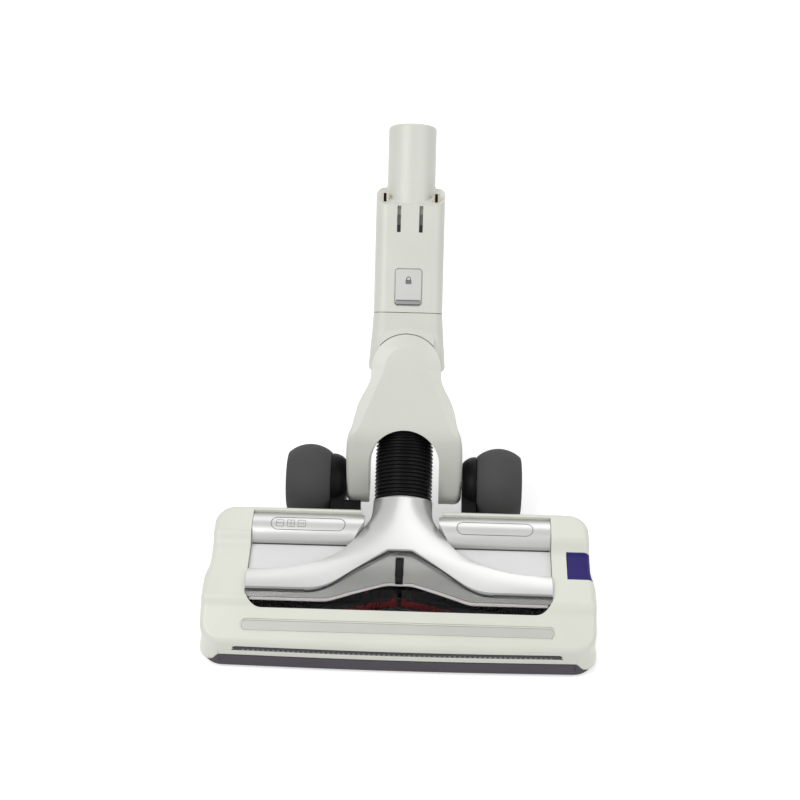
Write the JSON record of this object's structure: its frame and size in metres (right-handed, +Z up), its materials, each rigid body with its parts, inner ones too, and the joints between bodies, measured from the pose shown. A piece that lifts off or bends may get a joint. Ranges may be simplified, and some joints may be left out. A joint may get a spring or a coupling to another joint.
{
  "type": "vacuum floor brush head",
  "caption": "Powered floor brush head for a stick vacuum, with a see-through brush window, rear wheels, a tilting yoke with a ribbed hose, a swivel collar and a wand connector.",
  "frame": {"origin": "on the floor under the middle of the footprint, at rest with the neck at 45 degrees", "axes": "+X to the right wheel as seen from the front, +Y from the front bumper to the spigot, +Z up"},
  "size_m": [0.261, 0.328, 0.2244],
  "materials": {
    "white_plastic": "satin gloss",
    "dark_plastic": "fine grain",
    "bumper_rubber": "matt",
    "ledge_plastic": "fine grain",
    "silver_plastic": "satin metallic",
    "clear_plastic": "clear gloss",
    "grey_plastic": "satin",
    "strip_satin": "satin metallic",
    "violet_plastic": "satin",
    "spring_steel": "drawn",
    "seal_rubber": "matt",
    "board_green": "lacquered",
    "motor_steel": "rolled",
    "belt_rubber": "ribbed",
    "bearing_bronze": "sintered",
    "core_plastic": "satin",
    "bristle_red": "nylon pile",
    "bristle_dark": "nylon pile",
    "tyre_rubber": "matt",
    "bellows_rubber": "semi gloss",
    "contact_metal": "plated"
  },
  "bodies": {
    "head": {"top_frame": "white_plastic", "base_tray": "dark_plastic", "front_bumper": "bumper_rubber", "deck_panel": "ledge_plastic", "neck_cover": "silver_plastic", "brush_window": "clear_plastic", "chamber_liner": "grey_plastic", "liner_rib": "dark_plastic", "front_strip": "strip_satin", "light_lens": "clear_plastic", "light_board": "board_green", "release_spring": "spring_steel", "mouth_seal": "seal_rubber", "brush_motor": "motor_steel", "drive_belt": "belt_rubber", "brush_bearing_left": "bearing_bronze", "brush_bearing_right": "bearing_bronze", "control_board": "board_green", "cable_guide": "dark_plastic", "air_pipe": "dark_plastic", "bellows": "bellows_rubber", "motor_cover_left": "silver_plastic", "motor_cover_right": "silver_plastic", "wheel_arm_left": "dark_plastic", "wheel_arm_right": "dark_plastic", "axle_left": "spring_steel", "axle_right": "spring_steel", "front_roller_pin_left": "spring_steel", "front_roller_pin_right": "spring_steel"},
    "neck": {"yoke_front": "white_plastic", "yoke_rear": "white_plastic", "yoke_duct": "dark_plastic"},
    "connector": {"swivel_collar": "white_plastic", "connector_tube": "white_plastic", "contact_left": "contact_metal", "contact_right": "contact_metal", "lock_springs": "spring_steel"},
    "lock": {"lock_button": "silver_plastic"},
    "release": {"release_button": "violet_plastic"},
    "brush": {"brush_core": "core_plastic", "brush_bristles_red": "bristle_red", "brush_bristles_dark": "bristle_dark", "brush_pulley": "core_plastic"},
    "motor_shaft": {"motor_rotor": "spring_steel", "motor_pulley": "core_plastic"},
    "wheel_left": {"wheel_tyre_left": "tyre_rubber", "wheel_hub_left": "dark_plastic"},
    "wheel_right": {"wheel_tyre_right": "tyre_rubber", "wheel_hub_right": "dark_plastic"},
    "roller_left": {"front_roller_left": "core_plastic"},
    "roller_right": {"front_roller_right": "core_plastic"}
  },
  "joints": [
    {"name": "neck_pitch", "type": "hinge", "parent": "head", "child": "neck", "pos_m": [0, -0.0207, 0.027], "axis": [1, 0, 0], "range_deg": [-45, 45], "deforming": ["bellows"]},
    {"name": "connector_swivel", "type": "hinge", "parent": "neck", "child": "connector", "pos_m": [0, 0.03092, 0.09135], "axis": [0, 0.7071, -0.7071], "range_deg": [-35, 35]},
    {"name": "lock_press", "type": "slide", "parent": "connector", "child": "lock", "axis": [0, 0.7071, -0.7071], "range_m": [0, 0.0016], "stiffness_N_per_m": 900, "springref_m": -0.0006, "deforming": ["lock_springs"]},
    {"name": "release_press", "type": "slide", "parent": "head", "child": "release", "axis": [0, 0, -1], "range_m": [0, 0.0025], "stiffness_N_per_m": 700, "springref_m": -0.0008, "deforming": ["release_spring"]},
    {"name": "brush_spin", "type": "hinge", "parent": "head", "child": "brush", "pos_m": [0, -0.1317, 0.019], "axis": [1, 0, 0], "continuous": true},
    {"name": "motor_spin", "type": "hinge", "parent": "head", "child": "motor_shaft", "pos_m": [-0.08, -0.0782, 0.0365], "axis": [1, 0, 0], "continuous": true},
    {"name": "wheel_left_spin", "type": "hinge", "parent": "head", "child": "wheel_left", "pos_m": [-0.06755, -0.0207, 0.027], "axis": [1, 0, 0], "continuous": true},
    {"name": "wheel_right_spin", "type": "hinge", "parent": "head", "child": "wheel_right", "pos_m": [0.06755, -0.0207, 0.027], "axis": [1, 0, 0], "continuous": true},
    {"name": "roller_left_spin", "type": "hinge", "parent": "head", "child": "roller_left", "pos_m": [-0.112, -0.1482, 0.006], "axis": [1, 0, 0], "continuous": true},
    {"name": "roller_right_spin", "type": "hinge", "parent": "head", "child": "roller_right", "pos_m": [0.112, -0.1482, 0.006], "axis": [1, 0, 0], "continuous": true}
  ],
  "couplings": [
    {"joint": "motor_spin", "follows": "brush_spin", "ratio": 2}
  ]
}
